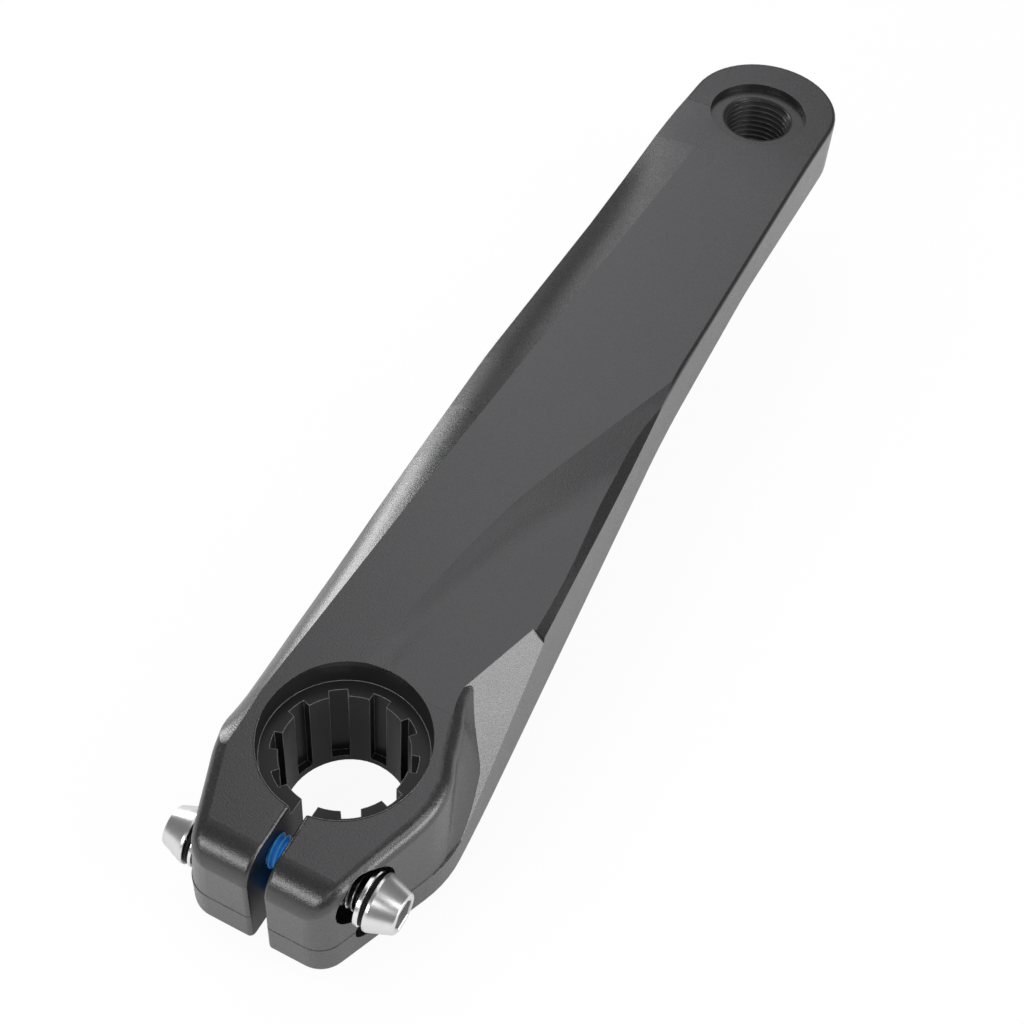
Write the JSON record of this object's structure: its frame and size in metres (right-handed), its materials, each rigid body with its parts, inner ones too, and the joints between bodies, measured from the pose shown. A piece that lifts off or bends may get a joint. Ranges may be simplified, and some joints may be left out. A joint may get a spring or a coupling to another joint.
{
  "type": "bicycle crank arm",
  "caption": "Left crank arm with a splined clamp boss, a slit closed by two opposed pinch bolts, and a threaded pedal hole.",
  "frame": {"origin": "on the spindle bore's axis, in the boss's inner face, the one that faces the bicycle", "axes": "+Z is the bore's axis, pointing outward from the bicycle; +Y runs along the arm from the spindle to the pedal hole; +X is to the right with the pedal end up and the outer face towards the viewer"},
  "size_m": [0.0432, 0.2153, 0.0344],
  "materials": {
    "anodised_arm": "fine-grained charcoal anodising",
    "bolt_steel": "satin, turned",
    "washer_steel": "bright",
    "ring_rubber": "matt"
  },
  "bodies": {
    "root": {"crank_arm": "anodised_arm", "upper_pinch_bolt": "bolt_steel", "lower_pinch_bolt": "bolt_steel", "upper_washer": "washer_steel", "lower_washer": "washer_steel", "upper_rubber_ring": "ring_rubber", "lower_rubber_ring": "ring_rubber"}
  },
  "joints": []
}
